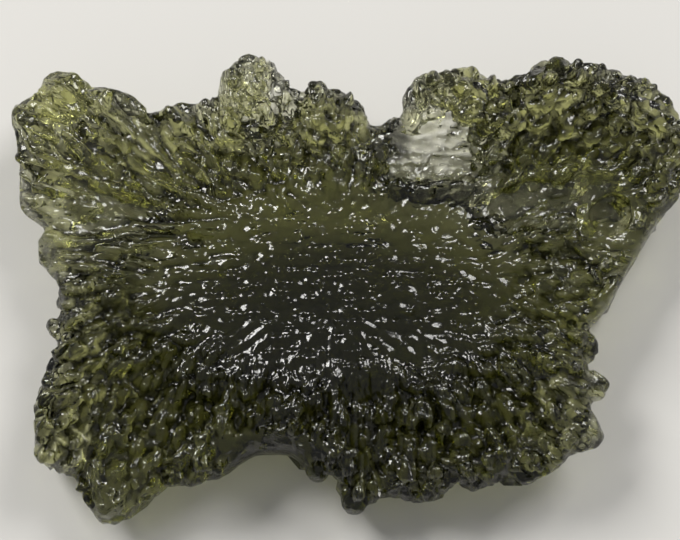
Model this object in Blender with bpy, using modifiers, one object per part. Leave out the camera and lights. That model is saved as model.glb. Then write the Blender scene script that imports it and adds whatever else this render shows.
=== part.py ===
"""Moldavite: one piece of natural green glass, a thin jagged plate that soil acids have etched all over.

Metres, +Z up. The plate lies on a small worn foot under its thick belly, and its rim stands a
millimetre or so clear of the table. +X runs along the longest side, towards the straight broken face,
and +Y towards the crowned lobes. The origin is on the table, under the middle of the bounding box.
"""

import math

import bmesh
import bpy
import numpy as np
from mathutils import Vector, noise

NAME = "moldavite"
MM = 0.001

# The plate, in millimetres
RIM_HEIGHT = 3.4  # the middle of the rim stands this far above the table
RIM_THICKNESS = 4.2
PLATE_THICKNESS = 3.6
TAPER = 2.6  # the plate thins from the first to the second over about this distance
EDGE_ROUNDING = 1.4  # the last stretch to the edge is rounded off
NEAREST_EDGE = 0.02  # the edge itself keeps the thickness it has this share of that stretch further in
EDGE_SHARE = 0.35  # the etching is this much as deep at the very edge
CROWN_RISE = 0.9  # how far the upper face swells over its middle
CROWN_REACH = (13.0, 8.5)
BELLY_PLACE = (-1.0, -3.6)
BELLY_REACH = (10.0, 6.4)
BELLY_DEPTH = 2.6  # how far the thick middle hangs below the plate, before the foot is worn flat
RIM_SWAY = 0.8  # how far the rim wanders up and down
SWAY_LENGTH = 5.0  # over about this distance
KNOB_HEIGHT = 0.75  # the outer plate is knobbly on both faces, by up to about half of this
KNOB_LENGTH = 1.9
LEAST_SHARE = 0.22  # no hollow leaves less than this share of the plate on its side of the middle
HOLLOW_END = 1.35  # a hollow ends at this many times its half length and half width
HOLLOW_SIDE = 0.7  # and its side takes up this much of that

# The etched grooves run along the plate in a level band through here, and above and below it they fan
# out towards the rim.
FLOW_CENTRE = (-1.0, 1.0)
FLOW_BAND = 3.0
FLOW_SQUASH = 0.4
FLOW_WANDER = 14.0  # degrees

# The grooves of each face: seed of the pattern, spacing, half length, half width and depth
UPPER_GROOVES = {"seed": 11, "spacing": 1.45, "half_length": 2.0, "half_width": 0.85, "depth": 0.62}
LOWER_GROOVES = {"seed": 29, "spacing": 2.1, "half_length": 2.4, "half_width": 1.3, "depth": 0.6}
SPREAD = 0.35  # a groove is up to this share longer, wider or deeper than that, or smaller
MIDDLE_SHARE = 0.25  # the grooves over the middle have this share of the depth near the rim
LUMPY_NORTH = 8.0  # past this line the grooves shorten to pits, with rough lumps between them
PIT_SHARE = 0.6
FOOT_CALM = 5.0  # the grooves fade out this close to the foot's middle
FOOT_BARE = 0.3  # and are gone within this share of that

BLANK_HALF = 1.5  # half the thickness of the flat blank that the stone is shaped from
BLANK_VOXEL = 0.3
MOST_TRIANGLES = 9700
GLASS_GREEN = (0.075, 0.085, 0.025, 1.0)

# The rim from above, clockwise from the notch over the west bead, in millimetres
RIM = {
    "north-west lobe": [
        (-19.4, 4.2), (-20.1, 4.6), (-20.6, 5.2), (-20.7, 6.7), (-20.8, 9.1), (-21.3, 10.9),
        (-21.3, 11.4), (-21.0, 11.8), (-19.7, 12.3), (-19.4, 12.9), (-19.0, 13.6), (-18.2, 13.6),
        (-17.2, 13.8), (-16.9, 13.6), (-16.4, 12.6), (-15.0, 12.7), (-14.4, 12.5), (-13.6, 12.1),
    ],
    "north bay": [(-13.0, 11.3), (-12.1, 11.4), (-11.1, 12.0), (-8.7, 11.9)],
    "north crown": [
        (-8.3, 12.0), (-8.0, 13.7), (-7.5, 14.0), (-6.9, 14.4), (-6.3, 14.6), (-5.3, 14.4),
        (-5.1, 14.8), (-4.7, 14.7), (-4.6, 14.2), (-4.2, 13.7), (-3.8, 12.8),
    ],
    "north shoulder": [
        (-2.9, 12.6), (-2.2, 13.1), (-0.8, 13.0), (-0.6, 12.7), (0.0, 12.5), (0.7, 12.0), (0.8, 11.4),
    ],
    "notch": [(1.3, 10.5), (1.8, 10.6), (2.2, 10.8), (2.7, 10.9), (3.2, 11.2)],
    "north-east brow": [
        (3.4, 11.9), (3.8, 12.9), (4.4, 13.3), (5.2, 13.5), (6.0, 13.5), (7.2, 14.0), (8.4, 13.7),
        (8.9, 13.4), (9.6, 13.3), (9.9, 12.9),
    ],
    "north-east tower": [
        (10.2, 13.3), (11.3, 13.4), (11.4, 13.9), (11.8, 14.2), (12.9, 14.7), (13.3, 14.8), (13.7, 14.2),
    ],
    "east shoulder": [
        (15.1, 14.3), (15.7, 14.2), (16.3, 13.8), (17.8, 13.5), (19.3, 13.3), (19.7, 12.9), (20.0, 12.3),
        (20.9, 10.6), (21.3, 9.7), (21.5, 8.6), (21.3, 7.0), (20.8, 6.2),
    ],
    "east face": [(19.4, 4.4), (16.1, -1.1), (15.7, -1.7), (15.2, -2.1), (14.4, -2.3)],
    "south-east teeth": [
        (14.8, -2.7), (15.2, -3.1), (15.5, -3.9), (15.0, -4.3), (14.6, -4.8), (14.9, -5.4), (15.4, -5.4),
        (15.8, -5.7), (16.0, -6.2), (15.6, -6.8), (14.9, -7.0),
    ],
    "south-east lobe": [
        (14.8, -7.5), (15.5, -8.4), (15.8, -9.0), (15.6, -9.5), (15.0, -9.9), (13.7, -10.1),
        (12.4, -11.3), (11.5, -11.6), (10.8, -12.1), (10.1, -11.8), (9.2, -11.7),
    ],
    "south bay": [
        (8.5, -12.1), (7.7, -12.5), (7.3, -12.4), (6.9, -12.0), (6.3, -12.0), (5.5, -12.9), (4.4, -13.1),
        (3.1, -12.7), (1.9, -12.7),
    ],
    "south bulb": [
        (1.0, -13.4), (0.6, -13.8), (0.2, -13.9), (-0.2, -13.8), (-0.4, -13.3), (-0.5, -12.0),
        (-0.9, -11.4), (-1.3, -11.4),
    ],
    "south hollow": [
        (-1.7, -11.8), (-2.2, -11.8), (-3.0, -10.7), (-3.5, -10.3), (-4.0, -10.2), (-5.9, -10.2),
        (-7.0, -11.0), (-9.6, -12.2),
    ],
    "south-west spike": [
        (-10.1, -12.3), (-10.8, -12.1), (-11.4, -12.1), (-12.7, -13.3), (-14.0, -14.2), (-14.7, -14.5),
        (-15.3, -14.4), (-15.7, -14.1), (-16.2, -12.9), (-16.9, -11.9),
    ],
    "south-west lobe": [
        (-17.5, -11.4), (-19.1, -10.6), (-19.4, -10.2), (-19.3, -9.4), (-19.6, -7.9), (-19.4, -7.2),
        (-19.1, -5.9), (-18.6, -5.5),
    ],
    "west teeth": [
        (-18.8, -4.8), (-18.5, -4.2), (-18.1, -3.7), (-18.1, -3.3), (-18.7, -2.4), (-18.5, -1.9),
        (-17.7, -1.5), (-18.0, -0.3), (-18.4, 0.8),
    ],
    "west bead": [(-18.7, 1.3), (-19.4, 1.9), (-19.6, 2.6), (-19.5, 3.3), (-19.0, 4.0)],
}

# Where the edge is rounded over a shorter or a longer stretch: x, y, half length, half width, heading
# in degrees, change
EDGES = {
    "broken east face": (17.6, 1.6, 5.0, 1.8, 59, -1.0),
    "south hollow": (-5.4, -10.8, 5.5, 2.2, 0, 1.1),
    "notch": (2.0, 10.6, 1.6, 1.4, 0, 0.7),
}

# How far each corner of the plate is bent up or down: x, y, reach, lift
BENDS = {
    "north-west lobe": (-19.0, 11.5, 6.0, 0.5),
    "north crown": (-6.0, 13.8, 3.5, 1.0),
    "notch": (1.6, 10.2, 2.2, -0.7),
    "dish": (5.2, 9.6, 4.4, 1.0),
    "north-east brow": (6.5, 13.0, 3.5, 0.5),
    "north-east tower": (13.0, 14.0, 4.5, 0.8),
    "east shoulder": (21.0, 9.0, 5.0, 0.3),
    "south-east teeth": (15.8, -4.5, 3.0, -0.5),
    "south-east lobe": (15.0, -9.0, 4.0, 0.4),
    "south bulb": (0.0, -13.6, 3.0, -0.7),
    "south-west spike": (-15.0, -14.0, 4.5, -0.9),
    "west side": (-19.0, -2.0, 4.0, -0.4),
}

# Lumps on the upper face: x, y, half length, half width, heading in degrees, rise
LUMPS = {
    "north-west knob": (-17.9, 12.6, 1.9, 1.0, 5, 0.9),
    "north-west corner bead": (-20.2, 11.0, 0.9, 0.9, 0, 0.6),
    "north-west ridge": (-14.2, 9.6, 3.0, 0.8, -58, 0.6),
    "west ridge": (-17.4, 7.6, 3.0, 0.7, -20, 0.55),
    "bay ridge": (-11.2, 10.0, 2.0, 0.7, -65, 0.5),
    "north crown": (-6.9, 12.5, 1.4, 1.2, 80, 1.1),
    "crown tip": (-4.9, 13.8, 1.0, 0.6, 90, 0.5),
    "north shoulder": (-1.3, 11.6, 1.6, 1.1, 80, 0.9),
    "saddle": (-4.0, 9.6, 3.2, 1.2, 0, 0.4),
    "north-east brow": (5.2, 12.4, 1.7, 0.9, 12, 1.0),
    "brow lump": (8.2, 12.2, 1.3, 1.0, -20, 0.9),
    "brow foot": (9.8, 10.6, 1.5, 1.0, 70, 0.6),
    "north-east tower": (12.6, 13.0, 1.5, 1.3, 60, 1.2),
    "tower foot": (13.4, 10.2, 1.6, 0.9, 60, 0.5),
    "east crest": (16.2, 12.2, 2.4, 0.9, -15, 0.9),
    "east brow": (19.3, 10.6, 1.6, 0.9, -60, 0.8),
    "east corner": (19.6, 7.2, 1.3, 1.1, 20, 0.6),
    "dish lip": (5.4, 6.2, 3.4, 0.55, 8, 0.7),
    "shelf": (11.4, 6.8, 3.4, 0.5, 17, 0.5),
    "west bead": (-18.3, 2.8, 1.2, 1.1, 0, 0.9),
    "west pearl": (-18.2, -2.3, 0.7, 0.6, 0, 0.5),
    "south-west lump": (-18.3, -9.2, 1.3, 1.1, 30, 0.6),
    "south-west spike": (-14.8, -13.2, 1.5, 0.9, 75, 0.6),
    "south keel": (-9.4, -10.2, 1.6, 0.9, 80, 0.6),
    "south bulb": (0.0, -13.3, 0.8, 0.7, 60, 0.5),
    "south lump": (4.6, -11.6, 1.5, 1.2, 20, 0.7),
    "south-east lump": (8.3, -11.0, 1.2, 0.9, 0, 0.5),
    "south-east lobe": (13.4, -8.9, 2.0, 1.5, -30, 0.4),
}

# Hollows in the upper face: x, y, half length, half width, heading in degrees, depth
HOLLOWS = {
    "dish": (5.1, 8.3, 2.7, 1.8, 6, 1.7),
    "dish tail": (8.9, 6.9, 1.7, 0.55, 18, 0.5),
    "right band": (12.2, 5.4, 4.0, 1.4, 12, 0.7),
    "left band": (-15.2, 4.4, 3.0, 1.1, 0, 0.4),
    "middle band": (-1.8, 3.9, 4.2, 1.1, 0, 0.3),
    "notch floor": (1.7, 9.0, 1.3, 1.1, -60, 0.9),
    "behind the crown": (-4.6, 11.9, 0.9, 0.7, 70, 0.5),
    "behind the brow": (3.6, 11.0, 0.8, 0.8, 40, 0.5),
    "east furrow": (17.4, 10.4, 1.8, 0.6, -40, 0.6),
    "west fissure": (-15.8, 6.0, 3.4, 0.45, -22, 0.5),
    "north-west fissure": (-13.0, 7.6, 3.2, 0.4, -58, 0.5),
    "south-west furrow": (-15.4, -10.6, 1.3, 0.6, 10, 0.5),
    "south-east furrow": (11.4, -8.0, 2.0, 0.5, -50, 0.5),
}

# Places where the plate is thin, hollowed from below: x, y, half length, half width, heading, depth
THIN_PLACES = {
    "under the dish": (5.4, 8.6, 3.6, 2.4, 6, 1.9),
    "left band": (-14.8, 4.4, 3.8, 1.6, 0, 1.2),
    "middle band": (-1.4, 3.8, 4.8, 1.4, 0, 1.1),
    "right band": (12.0, 5.8, 4.8, 2.1, 12, 1.9),
    "crown": (-5.3, 12.6, 1.9, 1.3, 60, 1.4),
    "brow": (4.4, 11.8, 2.0, 1.3, 20, 1.3),
    "east crest": (18.2, 11.4, 2.0, 0.8, -45, 1.0),
    "west edge": (-17.8, 0.2, 0.8, 1.6, 0, 0.8),
    "south-west lobe": (-16.2, -10.4, 1.6, 0.9, 15, 0.8),
    "south-east teeth": (14.6, -5.2, 0.9, 2.0, 10, 1.0),
    "south-east lobe": (14.8, -8.6, 1.2, 0.9, -50, 1.0),
}

# Places where the plate is thick, and hangs lower: x, y, half length, half width, heading, how much lower
THICK_PLACES = {
    "north-east": (14.4, 10.2, 5.4, 2.6, -8, 1.6),
    "north-west knob": (-18.0, 12.6, 1.8, 1.2, 5, 0.8),
    "north bay": (-10.6, 9.2, 3.4, 1.8, 0, 0.5),
    "north shoulder": (-0.8, 10.4, 2.0, 1.8, 0, 0.4),
    "south-east": (10.4, -9.2, 4.4, 2.2, -20, 0.5),
    "south-west": (-14.4, -7.4, 3.0, 3.0, 0, 0.4),
}

# The crater of a gas bubble that burst on the upper face, near the broken side
CRATER_PLACE = (16.2, 4.5)
CRATER_RADIUS = 1.3
CRATER_DEPTH = 0.7
CRATER_RIM = 0.45
CRATER_WALL = 0.3  # the raised rim's half width, as a share of the radius


def clear_scene():
    for old in list(bpy.data.objects):
        bpy.data.objects.remove(old, do_unlink=True)


def make_collection(name):
    collection = bpy.data.collections.new(name)
    bpy.context.scene.collection.children.link(collection)
    return collection


def soft_step(share):
    """0 below 0, 1 above 1, and a soft step between."""
    share = np.clip(share, 0.0, 1.0)
    return share * share * (3.0 - 2.0 * share)


def soft_floor(value, lowest, softness=0.12):
    """The value where it is well above the lowest, and otherwise the lowest, with a soft bend between."""
    return lowest + softness * np.logaddexp(0.0, (value - lowest) / softness)


def rim_points():
    return np.array([point for stretch in RIM.values() for point in stretch])


def rim_distance(x, y):
    """How far each place on the plate is from the rim."""
    start = rim_points()
    along = np.roll(start, -1, axis=0) - start
    nearest = np.full(len(x), np.inf)
    for (x0, y0), (dx, dy) in zip(start, along):
        share = np.clip(((x - x0) * dx + (y - y0) * dy) / (dx * dx + dy * dy), 0.0, 1.0)
        nearest = np.minimum(nearest, np.hypot(x - x0 - share * dx, y - y0 - share * dy))
    return nearest


def oval(x, y, place, reach, heading=0.0):
    """Distance from an oval's middle: 0 there and 1 on its outline."""
    turn = math.radians(heading)
    along = (x - place[0]) * math.cos(turn) + (y - place[1]) * math.sin(turn)
    across = (y - place[1]) * math.cos(turn) - (x - place[0]) * math.sin(turn)
    return np.hypot(along / reach[0], across / reach[1])


def hump(x, y, place, reach, heading=0.0):
    """A round-topped rise: 1 at its middle, and nearly 0 at twice its reach."""
    return np.exp(-(oval(x, y, place, reach, heading) ** 2))


def evaluated_mesh(source):
    graph = bpy.context.evaluated_depsgraph_get()
    return bpy.data.meshes.new_from_object(source.evaluated_get(graph))


def apply_modifiers(stone):
    mesh = evaluated_mesh(stone)
    stone.modifiers.clear()
    stone.data = mesh


def blank():
    """A flat slab with the stone's outline."""
    curve = bpy.data.curves.new("rim", "CURVE")
    curve.dimensions = "2D"
    curve.fill_mode = "BOTH"
    curve.extrude = BLANK_HALF * MM
    outline = rim_points() * MM
    spline = curve.splines.new("POLY")
    spline.points.add(len(outline) - 1)
    spline.use_cyclic_u = True
    for point, (x, y) in zip(spline.points, outline):
        point.co = (x, y, 0.0, 1.0)
    slab = bpy.data.objects.new("rim", curve)
    bpy.context.scene.collection.objects.link(slab)
    mesh = evaluated_mesh(slab)
    bpy.data.objects.remove(slab)

    weld = bmesh.new()
    weld.from_mesh(mesh)
    bmesh.ops.remove_doubles(weld, verts=weld.verts, dist=0.001 * MM)
    weld.to_mesh(mesh)
    weld.free()
    return mesh


def ripples(x, y, length, layer):
    """Smooth random rises and falls between about -0.5 and 0.5. Each layer has its own."""
    return np.array([noise.noise(Vector((px / length, py / length, layer))) for px, py in zip(x, y)])


def middle_height(x, y):
    """Height of the plate's middle: the rim's own height, its bends and its sway."""
    height = RIM_HEIGHT + RIM_SWAY * ripples(x, y, SWAY_LENGTH, 0.0)
    for bend_x, bend_y, reach, lift in BENDS.values():
        height += lift * hump(x, y, (bend_x, bend_y), (reach, reach))
    return height


def edge_rounding(x, y):
    """Over how long a stretch the edge near a place is rounded off."""
    stretch = np.full(len(x), EDGE_ROUNDING)
    for px, py, length, width, heading, change in EDGES.values():
        stretch += change * hump(x, y, (px, py), (length, width), heading)
    return stretch


def half_thickness(inwards, rounded):
    """Half the plate's thickness: a round edge, a thick rim, and the plate's own thickness further in."""
    to_edge = np.clip(inwards / rounded, NEAREST_EDGE, 1.0)
    rounding = np.sqrt(1.0 - (1.0 - to_edge) ** 2)
    further_in = 1.0 - np.exp(-inwards / TAPER)
    return 0.5 * rounding * (RIM_THICKNESS + (PLATE_THICKNESS - RIM_THICKNESS) * further_in)


def hollowed(x, y, hollows):
    """How deep the named hollows cut: flat in the middle, with a steep side."""
    depth = np.zeros(len(x))
    for px, py, length, width, heading, deepest in hollows.values():
        depth += deepest * soft_step((HOLLOW_END - oval(x, y, (px, py), (length, width), heading)) / HOLLOW_SIDE)
    return depth


def relief(x, y):
    """What the lumps, the hollows and the crater add to the upper face."""
    height = -hollowed(x, y, HOLLOWS)
    for px, py, length, width, heading, rise in LUMPS.values():
        height += rise * hump(x, y, (px, py), (length, width), heading)
    from_crater = oval(x, y, CRATER_PLACE, (CRATER_RADIUS, CRATER_RADIUS))
    height -= CRATER_DEPTH * soft_step(1.0 + CRATER_WALL - from_crater)
    height += CRATER_RIM * np.exp(-(((from_crater - 1.0) / CRATER_WALL) ** 2))
    return height


def flow_heading(x, y):
    """The way that the etching runs at a place, in degrees from +X."""
    across = y - FLOW_CENTRE[1]
    past_band = math.copysign(max(abs(across) - FLOW_BAND, 0.0), across)
    along = FLOW_SQUASH * (x - FLOW_CENTRE[0])
    return math.degrees(math.atan2(past_band, along))


def groove_places(seed, spacing):
    """Scattered places, none of them closer to another than the spacing."""
    chance = np.random.default_rng(seed)
    rim = rim_points()
    lowest, highest = rim.min(axis=0), rim.max(axis=0)
    tries = int(40 * np.prod(highest - lowest) / spacing**2)
    places = np.empty((0, 2))
    for place in chance.uniform(lowest, highest, (tries, 2)):
        if not len(places) or np.hypot(*(places - place).T).min() > spacing:
            places = np.vstack((places, place))
    return places, chance


def groove_depth(x, y, seed, spacing, half_length, half_width, depth):
    """How deep the grooves cut: round bottoms, with a sharp ridge wherever two of them meet."""
    cut = np.zeros(len(x))
    places, chance = groove_places(seed, spacing)
    for px, py in places:
        longer, wider, deeper = chance.uniform(1.0 - SPREAD, 1.0 + SPREAD, 3)
        wander = chance.uniform(-FLOW_WANDER, FLOW_WANDER)
        pitted = PIT_SHARE if py > LUMPY_NORTH else 1.0
        size = (half_length * longer * pitted, half_width * wider)
        across = oval(x, y, (px, py), size, flow_heading(px, py) + wander)
        cut = np.maximum(cut, depth * deeper * (1.0 - across**2))
    outer = soft_step(oval(x, y, FLOW_CENTRE, CROWN_REACH))
    return cut * (MIDDLE_SHARE + (1.0 - MIDDLE_SHARE) * outer)


def shape_plate(mesh):
    """Turns the flat slab into the stone: the bent rim, the swell, the belly, and all that is etched in."""
    flat = np.empty(len(mesh.vertices) * 3)
    mesh.vertices.foreach_get("co", flat)
    x, y, z = (flat.reshape(-1, 3) / MM).T
    side = np.clip(z / BLANK_HALF, -1.0, 1.0)
    inwards = rim_distance(x, y)
    rounded = edge_rounding(x, y)
    half = half_thickness(inwards, rounded)

    swell = CROWN_RISE * hump(x, y, BELLY_PLACE, CROWN_REACH)
    belly = BELLY_DEPTH * hump(x, y, BELLY_PLACE, BELLY_REACH)
    for px, py, length, width, heading, lower in THICK_PLACES.values():
        belly += lower * hump(x, y, (px, py), (length, width), heading)
    calm = soft_step(oval(x, y, BELLY_PLACE, (FOOT_CALM, FOOT_CALM)) - FOOT_BARE)
    near_edge = soft_step(EDGE_SHARE + inwards / rounded)
    knobs = KNOB_HEIGHT * soft_step(oval(x, y, FLOW_CENTRE, CROWN_REACH))
    etched_above = relief(x, y) - groove_depth(x, y, **UPPER_GROOVES)
    etched_above += knobs * ripples(x, y, KNOB_LENGTH, 5.0)
    etched_below = hollowed(x, y, THIN_PLACES) + calm * groove_depth(x, y, **LOWER_GROOVES)
    etched_below += calm * knobs * ripples(x, y, KNOB_LENGTH, 9.0)
    above = soft_floor(half + swell + near_edge * etched_above, LEAST_SHARE * half)
    below = soft_floor(half + belly - near_edge * etched_below, LEAST_SHARE * half)

    z = middle_height(x, y) + np.where(side > 0.0, side * above, side * below)
    mesh.vertices.foreach_set("co", (np.column_stack((x, y, z)) * MM).ravel())
    mesh.update()


def wear_foot(mesh):
    """Wears the belly flat where it stands, at the table's height."""
    stone = bmesh.new()
    stone.from_mesh(mesh)
    everything = list(stone.verts) + list(stone.edges) + list(stone.faces)
    down = Vector((0, 0, -1))
    cut = bmesh.ops.bisect_plane(
        stone, geom=everything, dist=1e-7, plane_co=(0, 0, 0), plane_no=down, clear_outer=True
    )
    loop = [part for part in cut["geom_cut"] if isinstance(part, bmesh.types.BMEdge)]
    bmesh.ops.holes_fill(stone, edges=loop)
    bmesh.ops.recalc_face_normals(stone, faces=stone.faces)
    bmesh.ops.triangulate(stone, faces=stone.faces)
    stone.to_mesh(mesh)
    stone.free()


def centre_on_origin(mesh):
    """Moves the stone sideways, so that the middle of its bounding box is over the origin."""
    places = np.empty(len(mesh.vertices) * 3)
    mesh.vertices.foreach_get("co", places)
    places = places.reshape(-1, 3)
    places[:, :2] -= (places[:, :2].min(axis=0) + places[:, :2].max(axis=0)) / 2
    mesh.vertices.foreach_set("co", places.ravel())
    mesh.update()


def glass():
    material = bpy.data.materials.new("green glass")
    material.use_nodes = True
    shader = material.node_tree.nodes["Principled BSDF"]
    shader.inputs["Base Color"].default_value = GLASS_GREEN
    shader.inputs["Roughness"].default_value = 0.12
    shader.inputs["Metallic"].default_value = 0.0
    shader.inputs["IOR"].default_value = 1.49
    return material


def make_stone(collection):
    stone = bpy.data.objects.new(NAME, blank())
    collection.objects.link(stone)
    even = stone.modifiers.new("even mesh", "REMESH")
    even.mode = "VOXEL"
    even.voxel_size = BLANK_VOXEL * MM
    apply_modifiers(stone)
    shape_plate(stone.data)

    triangles = sum(len(face.vertices) - 2 for face in stone.data.polygons)
    fewer = stone.modifiers.new("fewer triangles", "DECIMATE")
    fewer.ratio = MOST_TRIANGLES / triangles
    apply_modifiers(stone)
    wear_foot(stone.data)
    centre_on_origin(stone.data)
    stone.data.materials.append(glass())
    stone.data.shade_smooth()


def main():
    clear_scene()
    make_stone(make_collection(NAME))


main()
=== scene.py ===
# %% [markdown]
# # Moldavite
#
# Moldavite is natural glass. A meteorite's strike splashed it out of the ground as a melt, and millions
# of years in acid soil etched pits and grooves into it. This lesson dresses one plate of it: the solid
# gives the outline, the thickness and the large lumps, and this script adds the fine etching that makes
# the glass sparkle, and the clear, deep green glass itself.

import math

import bmesh
import bpy
import numpy as np
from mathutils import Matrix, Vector


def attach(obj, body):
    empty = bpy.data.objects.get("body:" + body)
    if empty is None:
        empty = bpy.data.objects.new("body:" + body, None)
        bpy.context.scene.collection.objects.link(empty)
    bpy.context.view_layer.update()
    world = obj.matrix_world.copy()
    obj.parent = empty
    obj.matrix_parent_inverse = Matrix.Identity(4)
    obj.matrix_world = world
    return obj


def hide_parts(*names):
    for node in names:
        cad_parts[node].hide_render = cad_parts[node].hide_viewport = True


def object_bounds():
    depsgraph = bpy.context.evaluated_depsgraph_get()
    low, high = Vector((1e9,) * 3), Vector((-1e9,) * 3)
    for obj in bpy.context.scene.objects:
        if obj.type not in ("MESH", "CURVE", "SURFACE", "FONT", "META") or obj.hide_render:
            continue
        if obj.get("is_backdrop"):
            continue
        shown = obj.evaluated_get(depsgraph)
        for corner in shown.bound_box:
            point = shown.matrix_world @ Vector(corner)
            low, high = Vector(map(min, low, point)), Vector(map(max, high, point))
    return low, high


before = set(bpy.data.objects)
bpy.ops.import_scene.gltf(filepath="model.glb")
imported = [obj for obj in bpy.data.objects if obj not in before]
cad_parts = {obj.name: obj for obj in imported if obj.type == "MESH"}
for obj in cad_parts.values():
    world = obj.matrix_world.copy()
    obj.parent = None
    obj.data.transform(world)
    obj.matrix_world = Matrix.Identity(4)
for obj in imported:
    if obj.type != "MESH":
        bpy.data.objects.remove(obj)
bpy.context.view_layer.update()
MM = 0.001
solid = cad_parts["moldavite"]
low, high = (np.array(corner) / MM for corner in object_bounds())
print("the stone is", (high - low).round(1), "mm")

# %% [markdown]
# ## The table and the camera
#
# The stone lies on white paper and the camera looks down on it from a little in front. A long lens keeps
# the plate's shape true, because a wide one would swell what is nearest.

# %% The paper
PAPER_HALF = 0.6
PAPER_DEPTH = 0.00002
PAPER_WHITE = (0.58, 0.569, 0.544, 1.0)
PAPER_ROUGHNESS = 0.9
PAPER_SHINE = 0.1

paper_mesh = bpy.data.meshes.new("paper")
shape = bmesh.new()
bmesh.ops.create_grid(shape, x_segments=1, y_segments=1, size=PAPER_HALF)
shape.to_mesh(paper_mesh)
shape.free()
paper = bpy.data.objects.new("paper", paper_mesh)
paper.location.z = -PAPER_DEPTH
bpy.context.scene.collection.objects.link(paper)
paper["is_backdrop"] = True

white = bpy.data.materials.new("white paper")
white.use_nodes = True
surface = white.node_tree.nodes["Principled BSDF"]
surface.inputs["Base Color"].default_value = PAPER_WHITE
surface.inputs["Roughness"].default_value = PAPER_ROUGHNESS
surface.inputs["Specular IOR Level"].default_value = PAPER_SHINE
paper_mesh.materials.append(white)
print("the paper is", round(2 * PAPER_HALF / MM), "mm wide")

# %% The camera
LENS = 120.0
SENSOR = 36.0
VIEW_WIDTH = 42.5 * MM
CAMERA_HEIGHT_ANGLE = 80.0
LOOK_AT = Vector((-0.67, 1.1, 4.0)) * MM

camera_data = bpy.data.cameras.new("camera")
camera_data.lens = LENS
camera_data.sensor_width = SENSOR
camera_data.clip_start = 0.001
camera = bpy.data.objects.new("camera", camera_data)
bpy.context.scene.collection.objects.link(camera)
distance = VIEW_WIDTH * LENS / SENSOR
height_angle = math.radians(CAMERA_HEIGHT_ANGLE)
towards_camera = Vector((0.0, -math.cos(height_angle), math.sin(height_angle)))
camera.location = LOOK_AT + distance * towards_camera
camera.rotation_euler = towards_camera.to_track_quat("Z", "Y").to_euler()
bpy.context.scene.camera = camera
print("the camera is", round(distance / MM), "mm away")

# %% [markdown]
# ## The light
#
# Two soft lamps stand behind the plate, to the left and to the right, so the near side has the shadow.
# They are low enough for their light to slip under the rim, where the glass glows, and small enough to
# be mirrored as crisp specks by the etched surface. The world adds a little light from all around, and
# the Standard view shows the colours plainly, because the usual one would grey the white paper.

# %% The lamps
LAMP_DISTANCE = 0.6
LAMP_SIZE = 0.24
ROOM_COLOUR = (0.97, 0.98, 1.0, 1.0)
ROOM_LIGHT = 0.31


def lamp(name, heading, height, power, colour):
    """A square soft lamp, placed by its compass heading and its height above the table in degrees."""
    data = bpy.data.lights.new(name, "AREA")
    data.shape = "SQUARE"
    data.size = LAMP_SIZE
    data.energy = power
    data.color = colour
    made = bpy.data.objects.new(name, data)
    heading, height = math.radians(heading), math.radians(height)
    level = Vector((math.sin(heading), math.cos(heading), 0.0))
    way = level * math.cos(height) + Vector((0.0, 0.0, math.sin(height)))
    made.location = way * LAMP_DISTANCE
    made.rotation_euler = way.to_track_quat("Z", "Y").to_euler()
    bpy.context.scene.collection.objects.link(made)
    return made


left_lamp = lamp("left lamp", -50.0, 43.0, 3.4, (1.0, 0.99, 0.965))
right_lamp = lamp("right lamp", 42.0, 44.0, 2.15, (1.0, 0.99, 0.975))
world = bpy.data.worlds.new("room")
world.use_nodes = True
world.node_tree.nodes["Background"].inputs["Color"].default_value = ROOM_COLOUR
world.node_tree.nodes["Background"].inputs["Strength"].default_value = ROOM_LIGHT
bpy.context.scene.world = world
bpy.context.scene.view_settings.view_transform = "Standard"
print("the lamps give", *(round(made.data.energy, 2) for made in (left_lamp, right_lamp)), "W")

# %% [markdown]
# ## A fine skin for the solid
#
# The solid's faces are over half a millimetre wide, and many grooves are narrower than that. One could
# sculpt them, but a sculpture can't be run again from numbers. So a copy of the solid is welded, rounded
# by subdivision and remeshed as evenly and finely as the grooves need, and nodes do the rest.

# %% The fine skin
SKIN_VOXEL = 0.1 * MM
WELD_REACH = 0.001 * MM


def with_modifiers(piece):
    """The piece takes the mesh that its modifiers make, and the modifiers come off."""
    graph = bpy.context.evaluated_depsgraph_get()
    mesh = bpy.data.meshes.new_from_object(piece.evaluated_get(graph))
    piece.modifiers.clear()
    old = piece.data
    piece.data = mesh
    bpy.data.meshes.remove(old)
    mesh.name = piece.name


def vertex_places(mesh):
    """The vertices' places in millimetres, one row for each."""
    flat = np.empty(len(mesh.vertices) * 3)
    mesh.vertices.foreach_get("co", flat)
    return flat.reshape(-1, 3) / MM


def vertex_normals(mesh):
    """The vertices' normals, one row for each."""
    flat = np.empty(len(mesh.vertices) * 3)
    mesh.vertex_normals.foreach_get("vector", flat)
    return flat.reshape(-1, 3)


skin_mesh = solid.data.copy()
shape = bmesh.new()
shape.from_mesh(skin_mesh)
bmesh.ops.remove_doubles(shape, verts=shape.verts, dist=WELD_REACH)
shape.to_mesh(skin_mesh)
shape.free()
skin_mesh.materials.clear()
stone = bpy.data.objects.new("etched-stone", skin_mesh)
bpy.context.scene.collection.objects.link(stone)

rounding = stone.modifiers.new("rounding", "SUBSURF")
rounding.levels = rounding.render_levels = 2
remesh = stone.modifiers.new("fine mesh", "REMESH")
remesh.mode = "VOXEL"
remesh.voxel_size = SKIN_VOXEL
with_modifiers(stone)
print("the fine skin has", len(stone.data.polygons), "faces")

# %% [markdown]
# ## Trees of nodes
#
# The etching is made by Geometry Nodes. These helpers keep the trees short: one adds a node with its
# settings and what feeds it, and the next do sums on numbers and on vectors. Others read a value that
# the skin keeps, keep a new one, start and end a tree, and run a finished tree on a piece.

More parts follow.
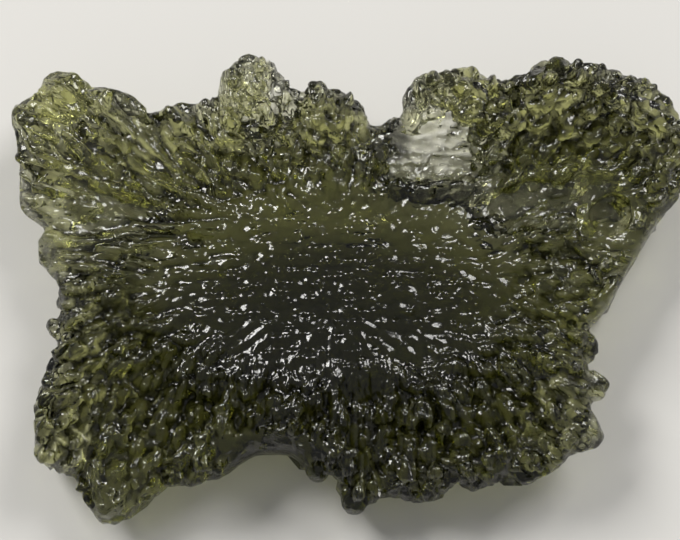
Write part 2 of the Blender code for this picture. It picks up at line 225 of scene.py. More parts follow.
# %% Helpers that add a node
def add(tree, kind, inputs=(), **settings):
    """Adds a node. Its inputs are given as (name, value or socket) pairs."""
    made = tree.nodes.new(kind)
    for name, value in settings.items():
        setattr(made, name, value)
    for name, value in inputs:
        if isinstance(value, bpy.types.NodeSocket):
            tree.links.new(value, made.inputs[name])
        else:
            made.inputs[name].default_value = value
    return made


def maths(tree, operation, *values):
    """What a Math node makes of some numbers."""
    return add(tree, "ShaderNodeMath", enumerate(values), operation=operation).outputs[0]


def vectors(tree, operation, *values):
    """What a Vector Math node makes of some vectors."""
    return add(tree, "ShaderNodeVectorMath", enumerate(values), operation=operation).outputs[0]


def scaled(tree, vector, share):
    """A vector made longer or shorter by a number."""
    made = add(tree, "ShaderNodeVectorMath", [(0, vector), ("Scale", share)], operation="SCALE")
    return made.outputs[0]


print("helpers for nodes:", ", ".join(helper.__name__ for helper in (add, maths, vectors, scaled)))

# %% Helpers for the skin's own values
def named(tree, name):
    """The value that the skin's own attribute has at each point."""
    return add(tree, "GeometryNodeInputNamedAttribute", [("Name", name)], data_type="FLOAT").outputs[0]


def stored(tree, skin, name, value):
    """The skin with a value kept at each of its points."""
    made = add(tree, "GeometryNodeStoreNamedAttribute", [
        ("Geometry", skin), ("Name", name), ("Value", value)], data_type="FLOAT", domain="POINT")
    return made.outputs[0]


print("helpers for values:", ", ".join(helper.__name__ for helper in (named, stored)))

# %% Helpers for whole trees
def new_tree(title, inputs):
    """A geometry tree with a skin going in, a skin coming out, and the named inputs between."""
    tree = bpy.data.node_groups.new(title, "GeometryNodeTree")
    tree.interface.new_socket("Geometry", in_out="INPUT", socket_type="NodeSocketGeometry")
    for name, kind in inputs.items():
        tree.interface.new_socket(name, in_out="INPUT", socket_type="NodeSocket" + kind)
    tree.interface.new_socket("Material", in_out="INPUT", socket_type="NodeSocketMaterial")
    tree.interface.new_socket("Geometry", in_out="OUTPUT", socket_type="NodeSocketGeometry")
    return tree, add(tree, "NodeGroupInput").outputs


def finish_tree(tree, given, skin):
    """Ends a tree as every tree ends here: copies made real, and the glass set on them."""
    real = add(tree, "GeometryNodeRealizeInstances", [("Geometry", skin)])
    coated = add(tree, "GeometryNodeSetMaterial", [
        ("Geometry", real.outputs[0]), ("Material", given["Material"])])
    add(tree, "NodeGroupOutput", [("Geometry", coated.outputs[0])])


def run_tree(piece, tree, title, values):
    """Puts a tree on a piece, sets its inputs by their identifiers, and keeps what it makes."""
    modifier = piece.modifiers.new(title, "NODES")
    modifier.node_group = tree
    names = {item.name: item.identifier for item in tree.interface.items_tree if item.in_out == "INPUT"}
    for name, value in values.items():
        modifier[names[name]] = value
    modifier[names["Material"]] = glass
    with_modifiers(piece)
    print(title + ":", len(piece.data.vertices), "points")


print("helpers for trees:", ", ".join(helper.__name__ for helper in (new_tree, finish_tree, run_tree)))

# %% [markdown]
# ## The glass
#
# The glass is clear and deep olive: thin places let the paper shine through as pale yellow-green, and a
# few millimetres of it are nearly black. So the olive isn't painted on. The light loses it along its way
# inside, by Volume Absorption, and the surface is clear glass with a satin, etched gloss. A painted grey
# shade on the surface does the rest. It darkens gaps and grooves, where real ones too narrow for this
# mesh trap the light. It also darkens whole listed places, most of all the middle, because an
# absorption strong enough for the middle made the rim too dark.

# %% The glass
GLASS_IOR = 1.49
GLASS_ROUGHNESS = 0.14
ABSORPTION = 400.0
GLASS_GREEN = (0.585, 0.595, 0.1, 1.0)

glass = bpy.data.materials.new("moldavite glass")
glass.use_nodes = True
tree = glass.node_tree
shader = tree.nodes["Principled BSDF"]
shader.inputs["Roughness"].default_value = GLASS_ROUGHNESS
shader.inputs["IOR"].default_value = GLASS_IOR
shader.inputs["Transmission Weight"].default_value = 1.0
absorb = add(tree, "ShaderNodeVolumeAbsorption", [("Color", GLASS_GREEN), ("Density", ABSORPTION)])
tree.links.new(absorb.outputs[0], tree.nodes["Material Output"].inputs["Volume"])
print("absorption", ABSORPTION, "per metre")

# %% [markdown]
# ## The finest etching
#
# Between the grooves the glass is covered with grains and dashes under half a millimetre wide, and each
# one flashes when it mirrors a lamp. As geometry they would take more faces than one piece may have, so
# they are bump in the glass, from two Voronoi textures. In the middle each cell is a low dome, drawn out
# along the plate and of its own height, so that only some of them flash. At the rim the cells are grains
# with sharp gaps between, drawn out along the flow lines that the skin keeps as an attribute, and the
# gaps get a painted shade.

# %% The dashes of the middle
DASHES_PER_METRE = 2300.0
DASH_STRETCH = (0.6, 1.0, 1.0)
DASH_HEIGHT = 0.15 * MM
DOME_REACH = 0.5
FEW_TALL = 1.5

place = add(tree, "ShaderNodeTexCoord").outputs["Object"]
spots = vectors(tree, "MULTIPLY", place, DASH_STRETCH)
dashes = add(tree, "ShaderNodeTexVoronoi", [
    ("Vector", spots), ("Scale", DASHES_PER_METRE), ("Randomness", 1.0)])
dome = maths(tree, "POWER", maths(tree, "DIVIDE", dashes.outputs["Distance"], DOME_REACH), 2.0)
dome = maths(tree, "MAXIMUM", maths(tree, "SUBTRACT", 1.0, dome), 0.0)
tall = add(tree, "ShaderNodeSeparateColor", [("Color", dashes.outputs["Color"])]).outputs[0]
rippled = add(tree, "ShaderNodeAttribute", attribute_name="ripple").outputs["Fac"]
tall = maths(tree, "MULTIPLY", maths(tree, "POWER", tall, FEW_TALL), rippled)
etching = add(tree, "ShaderNodeBump", [
    ("Height", maths(tree, "MULTIPLY", dome, tall)), ("Strength", 1.0), ("Distance", DASH_HEIGHT)])
print(DASHES_PER_METRE / 1000, "dashes to the millimetre")

# %% The grains of the rim
GRAINS_PER_MM = 2.2
GRAIN_HEIGHT = 0.25 * MM
# How dark the painted shade in the gaps between grains gets, and the distances from a grain's middle over
# which it comes in.
PAINTED_GAP_SHADE = 0.85
GAP_FROM, GAP_TO = 0.35, 0.7

flow = add(tree, "ShaderNodeAttribute", attribute_name="flow").outputs["Vector"]
grains = add(tree, "ShaderNodeTexVoronoi", [
    ("Vector", flow), ("Scale", GRAINS_PER_MM), ("Randomness", 1.0)])
grain = maths(tree, "SUBTRACT", 1.0, grains.outputs["Distance"])
grainy = add(tree, "ShaderNodeAttribute", attribute_name="grain").outputs["Fac"]
bump = add(tree, "ShaderNodeBump", [
    ("Height", maths(tree, "MULTIPLY", grain, grainy)), ("Strength", 1.0), ("Distance", GRAIN_HEIGHT),
    ("Normal", etching.outputs[0])])
tree.links.new(bump.outputs[0], shader.inputs["Normal"])
# Painted shade: the base colour is darkened in the gaps between the rim's grains, for the light that real
# narrow gaps trap.
gap_painted_shade = add(tree, "ShaderNodeMapRange", [
    ("Value", grains.outputs["Distance"]), ("From Min", GAP_FROM), ("From Max", GAP_TO),
    ("To Min", 0.0), ("To Max", PAINTED_GAP_SHADE)], interpolation_type="SMOOTHSTEP")
painted_lightness = maths(tree, "SUBTRACT", 1.0, maths(tree, "MULTIPLY", gap_painted_shade.outputs[0], grainy))
# Painted shade from the skin: its attribute darkens troughs and listed places, and multiplies the base
# colour with the gap shade.
painted_light = add(tree, "ShaderNodeAttribute", attribute_name="painted_light").outputs["Fac"]
tree.links.new(maths(tree, "MULTIPLY", painted_light, painted_lightness), shader.inputs["Base Color"])
print(GRAINS_PER_MM, "grains to the millimetre")

# %% [markdown]
# ## How thick the glass is
#
# A groove can't be deeper than the glass it is cut in. So the first tree looks straight inwards from
# every point of the skin to the other side, and keeps that distance as an attribute. On its way it also
# smooths the calm places, gives the rim uneven lumps, and swells the skin by what the rounding took.

# %% The thickness tree
SWELL = 0.05 * MM
FARTHEST = 12.0 * MM
START_INSIDE = 0.03 * MM


def thickness_tree():
    """Calms, lumps and swells the skin, and keeps how thick the glass is under each point."""
    tree, given = new_tree("thickness", {
        "Swell": "Float", "Lump Size": "Float", "Lump Height": "Float", "Calming": "Int"})
    normal = add(tree, "GeometryNodeInputNormal").outputs[0]
    place = add(tree, "GeometryNodeInputPosition").outputs[0]
    calm = add(tree, "GeometryNodeBlurAttribute", [
        ("Value", place), ("Iterations", given["Calming"])], data_type="FLOAT_VECTOR").outputs[0]
    shift = scaled(tree, vectors(tree, "SUBTRACT", calm, place), named(tree, "calm"))
    lumps = add(tree, "ShaderNodeTexNoise", [
        ("Vector", place), ("Scale", maths(tree, "DIVIDE", 1.0, given["Lump Size"])), ("Detail", 2.0)])
    rise = maths(tree, "MULTIPLY", given["Lump Height"], maths(tree, "SUBTRACT", lumps.outputs[0], 0.5))
    rise = maths(tree, "MULTIPLY", rise, named(tree, "lumpy"))
    swell = maths(tree, "MULTIPLY", maths(tree, "ADD", rise, given["Swell"]), named(tree, "etched"))
    offset = vectors(tree, "ADD", shift, scaled(tree, normal, swell))
    swollen = add(tree, "GeometryNodeSetPosition", [
        ("Geometry", given["Geometry"]), ("Offset", offset)])
    inwards = scaled(tree, normal, -1.0)
    inside = vectors(tree, "ADD", place, scaled(tree, inwards, START_INSIDE))
    ray = add(tree, "GeometryNodeRaycast", [
        ("Target Geometry", swollen.outputs[0]), ("Source Position", inside), ("Ray Direction", inwards),
        ("Ray Length", FARTHEST)])
    thickness = add(tree, "GeometryNodeSwitch", [
        ("Switch", ray.outputs["Is Hit"]), ("False", FARTHEST), ("True", ray.outputs["Hit Distance"])],
        input_type="FLOAT")
    kept = stored(tree, swollen.outputs[0], "thickness", thickness.outputs[0])
    finish_tree(tree, given, kept)
    return tree


swelling = thickness_tree()
print("the thickness tree has", len(swelling.nodes), "nodes")

# %% [markdown]
# ## Where each kind of etching belongs
#
# The photo shows a calm middle, a rough rim, long grooves in the north-west, a smooth dish, some pale
# smooth bands and one round pit. Painting weights by hand would do, but ovals with soft borders say the
# same in a few numbers, and numpy works them out for every point at once. Each result is kept on the
# skin as an attribute, so that any tree can read it by its name. Places are in millimetres from the
# middle of the solid, x to the east and y to the north, and headings are in degrees from east.

# %% Soft steps and ovals
def soft_step(value, start, end):
    """0 up to the start, 1 from the end on, and a soft step between."""
    share = np.clip((value - start) / (end - start), 0.0, 1.0)
    return share * share * (3.0 - 2.0 * share)


def within(x, y, place_x, place_y, reach_x, reach_y, heading):
    """1 inside an oval and 0 outside it, with a soft border."""
    turn = math.radians(heading)
    along = (x - place_x) * math.cos(turn) + (y - place_y) * math.sin(turn)
    across = (y - place_y) * math.cos(turn) - (x - place_x) * math.sin(turn)
    return soft_step(-np.hypot(along / reach_x, across / reach_y), -1.3, -0.7)


def mark(mesh, name, values):
    """Keeps a value for each vertex on the mesh, under a name that trees and materials can read."""
    attribute = mesh.attributes.new(name, "FLOAT", "POINT")
    attribute.data.foreach_set("value", values.astype(np.float32))


print("inside an oval", within(0.0, 0.0, 0.0, 0.0, 1.0, 1.0, 0.0), "and on its edge",
      within(1.0, 0.0, 0.0, 0.0, 1.0, 1.0, 0.0))

# %% The large places
MIDDLE = (-1.0, 0.0)
MIDDLE_REACH = (16.0, 9.0)
RIM_BORDER = (0.5, 1.0)
UPPER_SIDE = (2.0, 3.5)
# The dish: x, y, half length, half width, heading
DISH = (5.4, 8.2, 3.0, 2.2, 6.0)
CRATER = (16.2, 4.5)
CRATER_RADIUS = 1.25
CRATER_DEPTH = 0.5 * MM


def away_from_middle(x, y):
    """0 in the middle of the plate, and 1 where its rim gets fully rough."""
    return np.hypot((x - MIDDLE[0]) / MIDDLE_REACH[0], (y - MIDDLE[1]) / MIDDLE_REACH[1])


def in_north_west(x, y):
    """1 in the corner of the long grooves, 0 elsewhere, with a soft border."""
    return soft_step(-x, 7.0, 10.0) * soft_step(y, -1.0, 3.0)


def on_upper_side(z):
    """1 on the upper side of the plate and 0 on its underside, by height in millimetres."""
    return soft_step(z, *UPPER_SIDE)


print("the middle is", 2 * MIDDLE_REACH[0], "by", 2 * MIDDLE_REACH[1], "mm")

# %% The calmer and thinner places
# Calmer places: x, y, half length, half width, heading, how far the grooves fade, how far the lumps fade
CALM_PLACES = [
    (5.2, 8.4, 2.8, 2.0, 6.0, 0.75, 0.5),
    (11.5, 5.8, 5.5, 1.8, 10.0, 0.7, 0.5),
    (-16.0, 4.8, 3.5, 1.8, 0.0, 0.7, 0.5),
    (-2.0, 3.8, 4.5, 1.4, 0.0, 0.2, 0.0),
    (17.4, 1.4, 4.5, 0.9, 59.0, 0.8, 0.9),
    (16.2, 4.4, 2.4, 2.4, 0.0, 0.9, 1.0),
    (-5.5, -10.2, 4.5, 1.0, 0.0, 0.85, 0.7),
    (1.8, 9.6, 1.6, 1.2, 0.0, 0.8, 0.5),
    (14.6, -8.4, 1.6, 1.6, -50.0, 0.7, 0.6),
    (-14.6, -13.2, 1.6, 1.0, 50.0, 0.6, 0.3),
]
# Places hollowed a little further from below: x, y, half length, half width, heading, depth
THINNER_PLACES = [
    (5.4, 8.5, 3.2, 2.4, 6.0, 1.4),
    (12.0, 5.8, 4.6, 1.7, 12.0, 0.8),
    (-15.4, 4.6, 3.6, 1.5, 0.0, 0.4),
    (-5.2, 11.5, 1.8, 2.6, 0.0, 0.8),
    (4.4, 12.0, 2.2, 1.4, 0.0, 0.9),
    (-15.0, -13.4, 1.6, 1.0, 50.0, 0.5),
]


def calmed(values, x, y, which):
    """The values faded in the calm places, by the grooves' share (0) or by the lumps' share (1)."""
    for *place, fewer_grooves, fewer_lumps in CALM_PLACES:
        values = values * (1.0 - (fewer_grooves, fewer_lumps)[which] * within(x, y, *place))
    return values


print(len(CALM_PLACES), "calmer places and", len(THINNER_PLACES), "thinner ones")

# %% Where each point lies
FOOT_CLEAR = 0.5
SIDE_SHARE = 0.3

x, y, z = vertex_places(stone.data).T
from_middle = away_from_middle(x, y)
outer = soft_step(from_middle, *RIM_BORDER)
west = in_north_west(x, y)
grooved = calmed(np.ones(len(x)), x, y, 0)
above = on_upper_side(z)
tilt = vertex_normals(stone.data)[:, 2]
facing_up, facing_down = soft_step(tilt, 0.1, 0.7), soft_step(-tilt, 0.1, 0.7)
level = SIDE_SHARE + (1.0 - SIDE_SHARE) * np.maximum(facing_up, facing_down)
shares = (round(100 * float(mask.mean())) for mask in (outer, above))
print("percent of the skin on the rim and on the upper side:", *shares)

# %% The masks
CALMING = 50
MIDDLE_CALM = 0.75
WEST_FEWER_LUMPS = 0.6
WEST_FEWER_GRAINS = 0.85
RIM_FEWER_DASHES = 0.8

mark(stone.data, "etched", soft_step(z, 0.0, FOOT_CLEAR))
mark(stone.data, "lumpy", calmed(outer, x, y, 1) * level * (1.0 - WEST_FEWER_LUMPS * west))
mark(stone.data, "west", west * grooved * level)
mark(stone.data, "rough", outer * (1.0 - west) * grooved * level * (1.0 - facing_down))
few_west = 1.0 - WEST_FEWER_GRAINS * west
mark(stone.data, "grainy", outer * few_west * grooved * level * (1.0 - facing_down))
mark(stone.data, "below", outer * facing_down)
mark(stone.data, "middle", (1.0 - RIM_FEWER_DASHES * outer) * grooved * (0.5 + 0.5 * above))
mark(stone.data, "dish", above * within(x, y, *DISH))
mark(stone.data, "calm", np.maximum(MIDDLE_CALM * (1.0 - outer), 1.0 - grooved) * above)
thinner = sum(depth * within(x, y, *place) for *place, depth in THINNER_PLACES) * facing_down
from_crater = np.hypot(x - CRATER[0], y - CRATER[1]) / CRATER_RADIUS
crater = CRATER_DEPTH * above * soft_step(-from_crater, -1.1, -0.85)
mark(stone.data, "depth", crater + thinner * MM)
kept_names = [attribute.name for attribute in stone.data.attributes if attribute.data_type == "FLOAT"]
print("the skin keeps", ", ".join(kept_names))

# %% [markdown]
# ## A calm middle
#
# In the photo only the fine etching of the middle catches the lamps. The solid has low lumps there, and
# under a gloss their slopes mirrored the lamps as big bright patches. Blurring would take many rounds on
# a mesh this fine. Instead numpy fits one smooth curved surface through the middle's points by least
# squares, and each point moves most of the way to it.

# %% The middle pulled flat
MIDDLE_PULL = 0.75
FITTED_WITHIN = 0.8
PULL_BORDER = (0.45, 0.9)

shape_terms = np.stack([np.ones(len(x)), x, y, x * x, x * y, y * y], axis=1)
middle_top = (from_middle < FITTED_WITHIN) & (above * facing_up > 0.5)
fitted = shape_terms @ np.linalg.lstsq(shape_terms[middle_top], z[middle_top], rcond=None)[0]
pull = MIDDLE_PULL * above * facing_up * (1.0 - soft_step(from_middle, *PULL_BORDER))
places = np.stack([x, y, z + pull * (fitted - z)], axis=1) * MM
stone.data.vertices.foreach_set("co", places.ravel())
stone.data.update()
print("the middle moved by up to", round(float(np.max(np.abs(pull * (fitted - z)))), 2), "mm")

# %% [markdown]
# ## The first tree at work
#
# The thickness tree reads three of the masks, so it can only run now. Its inputs are set by their
# identifiers, because a modifier doesn't know them by the names that the tree shows.

# %% The first tree at work
LUMP_SIZE = 1.3 * MM
LUMP_HEIGHT = 1.0 * MM

run_tree(stone, swelling, "swelling", {
    "Swell": SWELL, "Lump Size": LUMP_SIZE, "Lump Height": LUMP_HEIGHT, "Calming": CALMING})

# %% [markdown]
# ## Etched grooves
#
# The acid ate the glass along its flow lines. In the middle they run along the plate, and towards the
# rim they fan out. A groove is a short scooped trough, and where two troughs meet they leave a sharp
# ridge that catches the light. The tree scatters short lines over the skin, turns each along the flow,
# and adds to the depth by how near the closest line is. It runs several times, from long to fine. A
# depth below nothing turns the troughs into rounded ridges with sharp valleys between.

# %% The way of the flow
LEAST_ALONG = 0.3 * MM


def flow_direction(tree, given):
    """Outwards from the middle, but along the plate within a level band through it."""
    place = add(tree, "GeometryNodeInputPosition").outputs[0]
    outwards = add(tree, "ShaderNodeSeparateXYZ", [
        (0, vectors(tree, "SUBTRACT", place, given["Flow Centre"]))])
    past_band = maths(tree, "SUBTRACT", maths(tree, "ABSOLUTE", outwards.outputs["Y"]), given["Band"])
    past_band = maths(tree, "MAXIMUM", past_band, 0.0)
    same_side = maths(tree, "SIGN", maths(tree, "MULTIPLY", outwards.outputs["X"], outwards.outputs["Y"]))
    along = maths(tree, "MULTIPLY", maths(tree, "ABSOLUTE", outwards.outputs["X"]), given["Squash"])
    along = maths(tree, "ADD", along, LEAST_ALONG)
    flow = add(tree, "ShaderNodeCombineXYZ", [
        ("X", along), ("Y", maths(tree, "MULTIPLY", past_band, same_side))])
    return flow.outputs[0]


print("the flow never stops, it runs along by", round(LEAST_ALONG / MM, 2), "mm or more")

# %% Short lines along the flow
TRIES = 6.0


def scattered_lines(tree, given):
    """Short lines scattered evenly over the skin, each turned along the flow and a little off it."""
    thickly = maths(tree, "DIVIDE", TRIES, maths(tree, "POWER", given["Spacing"], 2.0))
    scatter = add(tree, "GeometryNodeDistributePointsOnFaces", [
        ("Mesh", given["Geometry"]), ("Distance Min", given["Spacing"]), ("Density Max", thickly),
        ("Seed", given["Seed"])], distribute_method="POISSON")
    wander = add(tree, "FunctionNodeRandomValue", [
        ("Min", maths(tree, "MULTIPLY", given["Wander"], -1.0)), ("Max", given["Wander"]),
        ("Seed", given["Seed"])], data_type="FLOAT")
    turned = add(tree, "ShaderNodeVectorRotate", [
        ("Vector", flow_direction(tree, given)), ("Angle", wander.outputs["Value"])],
        rotation_type="Z_AXIS")
    turn = add(tree, "FunctionNodeAlignRotationToVector", [
        ("Rotation", scatter.outputs["Rotation"]), ("Vector", turned.outputs[0])],
        axis="X", pivot_axis="Z")

    line = add(tree, "GeometryNodeMeshLine", [
        ("Start Location", (-0.5, 0.0, 0.0)), ("Offset", (0.5, 0.0, 0.0)), ("Count", 2)],
        mode="END_POINTS")
    length = add(tree, "FunctionNodeRandomValue", [
        ("Min", given["Shortest"]), ("Max", given["Longest"]), ("Seed", given["Seed"])],
        data_type="FLOAT")
    lines = add(tree, "GeometryNodeInstanceOnPoints", [
        ("Points", scatter.outputs["Points"]), ("Instance", line.outputs["Mesh"]),
        ("Rotation", turn.outputs[0]), ("Scale", length.outputs["Value"])])
    return add(tree, "GeometryNodeRealizeInstances", [("Geometry", lines.outputs[0])]).outputs[0]


print(round(TRIES), "points are tried for each square as wide as the spacing")

# %% Troughs round the lines
UNEVEN_PER_METRE = 700.0
WIDTH_SPREAD = 0.6
LEAST_WIDE = 0.7


def troughs(tree, given, lines):
    """1 on a line, falling to 0 at the trough's uneven border."""
    near = add(tree, "GeometryNodeProximity", [("Geometry", lines)], target_element="EDGES")
    place = add(tree, "GeometryNodeInputPosition").outputs[0]
    uneven = add(tree, "ShaderNodeTexNoise", [
        ("Vector", place), ("Scale", UNEVEN_PER_METRE), ("Detail", 1.0)])
    share_wide = maths(tree, "MULTIPLY_ADD", uneven.outputs[0], WIDTH_SPREAD, LEAST_WIDE)
    width = maths(tree, "MULTIPLY", given["Half Width"], share_wide)
    across = maths(tree, "DIVIDE", near.outputs["Distance"], width)
    return maths(tree, "MAXIMUM", 0.0, maths(tree, "SUBTRACT", 1.0, maths(tree, "POWER", across, 2.0)))


print("a trough is", LEAST_WIDE, "to", round(LEAST_WIDE + WIDTH_SPREAD, 2), "times its width")

# %% The groove tree
TROUGH_MIDDLE = 0.55


def groove_tree():
    """Adds to each point's depth on a line, and takes a little away between the lines."""
    tree, given = new_tree("etched grooves", {
        "Spacing": "Float", "Shortest": "Float", "Longest": "Float", "Half Width": "Float",
        "Depth": "Float", "Wander": "Float", "Squash": "Float", "Band": "Float", "Seed": "Int",
        "Flow Centre": "Vector", "Where": "String"})
    trough = troughs(tree, given, scattered_lines(tree, given))
    here = named(tree, given["Where"])
    sunk = maths(tree, "SUBTRACT", trough, TROUGH_MIDDLE)
    deeper = maths(tree, "MULTIPLY", maths(tree, "MULTIPLY", sunk, here), given["Depth"])
    total = maths(tree, "ADD", named(tree, "depth"), deeper)
    finish_tree(tree, given, stored(tree, given["Geometry"], "depth", total))
    return tree


grooves = groove_tree()
print("the groove tree has", len(grooves.nodes), "nodes")

# %% The sizes of groove
# Title, mask, spacing, shortest, longest, half width, depth, wander in degrees, half the level band
GROOVES = [
    ("hidden grooves", "below", 1.9, 0.4, 2.0, 1.3, 1.5, 25.0, 3.0),
    ("long grooves", "west", 1.6, 1.6, 3.8, 0.85, 0.6, 8.0, 3.0),
    ("long ridges", "west", 1.1, 1.2, 3.4, 0.34, -0.6, 7.0, 3.0),
    ("rim lumps", "rough", 1.3, 0.3, 1.3, 0.75, -0.9, 25.0, 3.0),
    ("grains", "grainy", 0.6, 0.15, 0.6, 0.36, -0.5, 30.0, 3.0),
    ("dashes", "middle", 0.72, 0.25, 0.8, 0.32, -0.14, 16.0, 3.0),
    ("dish ripples", "dish", 0.9, 0.8, 2.4, 0.36, -0.4, 12.0, 20.0),
]
FLOW_CENTRE = Vector((-1.0, 1.0, 5.0)) * MM
FLOW_SQUASH = 0.4

for seed, (title, where, *sizes, wander, band) in enumerate(GROOVES, start=3):
    spacing, shortest, longest, half_width, depth = (size * MM for size in sizes)
    run_tree(stone, grooves, title, {
        "Where": where, "Spacing": spacing, "Shortest": shortest, "Longest": longest,
        "Half Width": half_width, "Depth": depth, "Wander": math.radians(wander),
        "Squash": FLOW_SQUASH, "Band": band * MM, "Seed": seed, "Flow Centre": FLOW_CENTRE})

# %% [markdown]
# ## Sinking the skin
#
# All the depths are added up first and the skin is moved once, because moving it for every size of
# groove would fold it where grooves cross. The last tree rounds the depths a little, stops each short of
# the other side of the glass and above the table, and moves the points along their normals. It also
# keeps how much deeper each point lies than those around it, for the painted shade of the glass.

# %% The sinking tree
DEEPEST_SHARE = 0.35
ROUNDING = 2
AROUND = 40
RISE_SHARE = 0.6


def sinking_tree():
    """Sinks the skin by all the depths together, within a share of its thickness and above the table."""
    tree, given = new_tree("sinking", {"Deepest Share": "Float", "Rounding": "Int", "Around": "Int"})
    most = maths(tree, "MULTIPLY", named(tree, "thickness"), given["Deepest Share"])
    blurred = add(tree, "GeometryNodeBlurAttribute", [
        ("Value", named(tree, "depth")), ("Iterations", given["Rounding"])], data_type="FLOAT")
    depth = maths(tree, "MULTIPLY", blurred.outputs[0], named(tree, "etched"))
    deep = add(tree, "ShaderNodeMath", enumerate((depth, most, most)), operation="SMOOTH_MIN").outputs[0]
    place = add(tree, "GeometryNodeInputPosition").outputs[0]
    height = add(tree, "ShaderNodeSeparateXYZ", [(0, place)]).outputs["Z"]
    deep = maths(tree, "MAXIMUM", deep, maths(tree, "MULTIPLY", height, -RISE_SHARE))
    normal = add(tree, "GeometryNodeInputNormal").outputs[0]
    offset = scaled(tree, normal, maths(tree, "MULTIPLY", deep, -1.0))
    around = add(tree, "GeometryNodeBlurAttribute", [
        ("Value", deep), ("Iterations", given["Around"])], data_type="FLOAT")
    # How much deeper each point lies than those around it, kept for the painted shade of the glass.
    kept = stored(tree, given["Geometry"], "cavity", maths(tree, "SUBTRACT", deep, around.outputs[0]))
    sunk = vectors(tree, "MAXIMUM", vectors(tree, "ADD", place, offset), (-1.0, -1.0, 0.0))
    moved = add(tree, "GeometryNodeSetPosition", [("Geometry", kept), ("Position", sunk)])
    finish_tree(tree, given, moved.outputs[0])
    return tree


run_tree(stone, sinking_tree(), "sinking", {
    "Deepest Share": DEEPEST_SHARE, "Rounding": ROUNDING, "Around": AROUND})

# %% [markdown]
# ## A mesh that is fine where it shows
#
# The even skin has more triangles than one piece may have. Decimate merges the flattest places first,
# and a vertex group tells it to spare the upper side, which is what one sees. It may set a merged point
# a little too low, so what sticks into the table is lifted back onto it.

# %% Thinning the mesh
MOST_TRIANGLES = 195000
TOP_SHARE = 0.3


def triangle_count(mesh):
    """How many triangles the faces make when each is cut up."""
    return sum(len(face.vertices) - 2 for face in mesh.polygons)


triangles = triangle_count(stone.data)
weights = 1.0 - (1.0 - TOP_SHARE) * on_upper_side(vertex_places(stone.data)[:, 2])
group = stone.vertex_groups.new(name="thin here")
for index, weight in enumerate(weights):
    group.add([index], weight, "REPLACE")
thin = stone.modifiers.new("thinning", "DECIMATE")
thin.ratio = min(1.0, MOST_TRIANGLES / triangles)
thin.vertex_group = group.name
with_modifiers(stone)
print(triangles, "triangles became", triangle_count(stone.data))

# %% Nothing in the table
places = vertex_places(stone.data)
lowest = places[:, 2].min()
places[:, 2] = np.maximum(places[:, 2], 0.0)
stone.data.vertices.foreach_set("co", (places * MM).ravel())
stone.data.update()
stone.data.shade_smooth()
print("the lowest point rose by", round(float(places[:, 2].min() - lowest), 3), "mm")

# %% [markdown]
# ## What the glass reads from the skin
#
# The glass asks the skin for four things: how much painted shade each point has, the flow lines, and how
# strong the grains and the dashes are there. Points that lie deeper than those around them get a painted
# shade, for the light that narrow hollows trap. Listed ovals paint shade over the places that the photo
# shows darker than absorption alone made them, and others ease the painted shade of the gaps where the
# photo is palest. The flow runs out from a spine along the middle: points on one flow line share the
# first two numbers, and the third grows outwards.

# %% The places darker and paler by painted shade
# Places given a painted shade as a whole: x, y, half length, half width, heading, how much darker
PAINTED_SHADE_PLACES = [
    (2.2, 9.3, 1.6, 1.4, 0.0, 0.8),
    (5.6, 5.7, 2.6, 0.6, 8.0, 0.7),
    (-5.4, -10.2, 4.0, 0.8, 0.0, 0.6),
    (-1.0, -2.6, 12.0, 5.5, 0.0, 0.86),
    (0.0, -10.0, 8.0, 2.5, 0.0, 0.35),
    (18.0, 5.9, 3.0, 3.0, 0.0, 0.6),
    (-15.0, 4.8, 3.5, 1.6, 0.0, 0.2),
    (-15.0, -2.0, 3.0, 4.0, 0.0, 0.25),
    (-1.0, 3.8, 6.0, 1.8, 0.0, 0.35),
    (12.0, 5.6, 4.5, 1.6, 10.0, 0.15),
]
# Places whose gaps and troughs get less painted shade, and fewer grains: x, y, half length, half width,
# heading, how much
PALE_PLACES = [
    (-5.5, 11.5, 3.0, 3.5, 0.0, 0.7),
    (4.4, 11.5, 3.5, 2.0, 0.0, 0.6),
    (5.4, 8.4, 3.4, 2.4, 6.0, 0.9),
    (-18.0, 12.0, 2.4, 2.0, 0.0, 0.4),
]
print(len(PAINTED_SHADE_PLACES), "darker places and", len(PALE_PLACES), "paler ones")

# %% How much painted shade each point has
CREST, TROUGH = 0.0, 0.14
PAINTED_TROUGH_LIGHT = 0.1

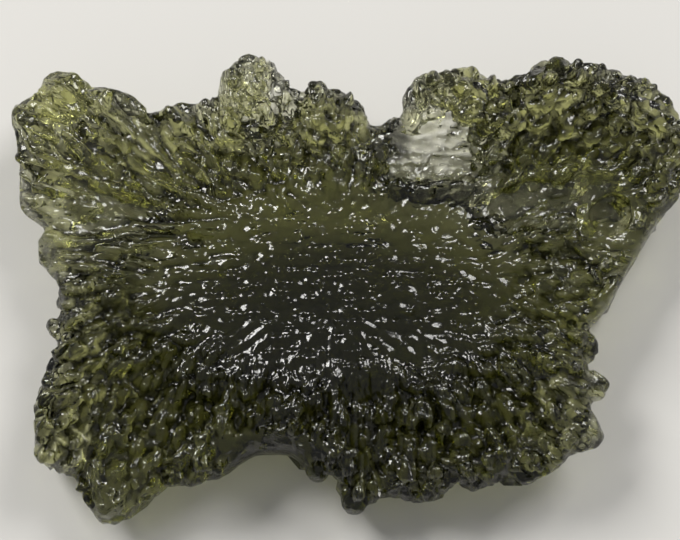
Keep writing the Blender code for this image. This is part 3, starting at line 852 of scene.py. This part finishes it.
cavity = np.empty(len(stone.data.vertices))
stone.data.attributes["cavity"].data.foreach_get("value", cavity)
cavity = cavity / MM
print("cavities", np.percentile(cavity, (1, 10, 25, 50, 75, 90, 99)).round(2), "mm")
x, y, z = vertex_places(stone.data).T
on_top = on_upper_side(z)
pale = sum(much * within(x, y, *place) for *place, much in PALE_PLACES)
pale = np.minimum(pale, 1.0)
# Painted shade: points lying deeper than those around them are darkened, for the light that narrow hollows
# trap, less in the pale places; then the listed places are darkened as a whole where the glass should look
# darker than its absorption makes it.
painted_lightness = 1.0 - (1.0 - PAINTED_TROUGH_LIGHT) * on_top * (1.0 - pale) * soft_step(cavity, CREST, TROUGH)
for *place, shade in PAINTED_SHADE_PLACES:
    painted_lightness *= 1.0 - shade * on_top * within(x, y, *place)
mark(stone.data, "painted_light", painted_lightness)

# %% The flow lines
SPINE = (-8.0, 6.0, 0.5)
SPINE_REACH = 8.0
ALONG_SHARE = 0.5
WEST_LESS_ALONG = 0.3

root_x = np.clip(x, SPINE[0], SPINE[1])
out_x, out_y = x - root_x, y - SPINE[2]
out = np.maximum(np.hypot(out_x, out_y), 0.01)
west = in_north_west(x, y)
along = (ALONG_SHARE - WEST_LESS_ALONG * west) * out + 0.5 * z
flow = np.stack([root_x + SPINE_REACH * out_x / out, SPINE_REACH * out_y / out, along], axis=1)
attribute = stone.data.attributes.new("flow", "FLOAT_VECTOR", "POINT")
attribute.data.foreach_set("vector", flow.astype(np.float32).ravel())
print("the flow lines run out for", round(float(out.max()), 1), "mm at most")

# %% The grains and the dashes
GRAIN_BORDER = (0.3, 0.95)
CLEAR_OF_SPINE = (2.5, 6.0)
PALE_LESS_GRAIN = 0.5
WEST_LESS_GRAIN = 0.4
GRAIN_LESS_RIPPLE = 0.7

grain = soft_step(away_from_middle(x, y), *GRAIN_BORDER) * on_top * soft_step(out, *CLEAR_OF_SPINE)
grain = calmed(grain, x, y, 0) * (1.0 - PALE_LESS_GRAIN * pale) * (1.0 - WEST_LESS_GRAIN * west)
mark(stone.data, "ripple", on_top * (1.0 - GRAIN_LESS_RIPPLE * grain))
# The grain strength sets both the grains' bump and the painted shade in their gaps.
mark(stone.data, "grain", grain)
print("grains on", round(100 * float(np.mean(grain > 0.5))), "percent of the points")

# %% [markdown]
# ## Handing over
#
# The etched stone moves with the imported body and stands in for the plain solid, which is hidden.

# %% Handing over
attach(stone, "root")
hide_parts("moldavite")
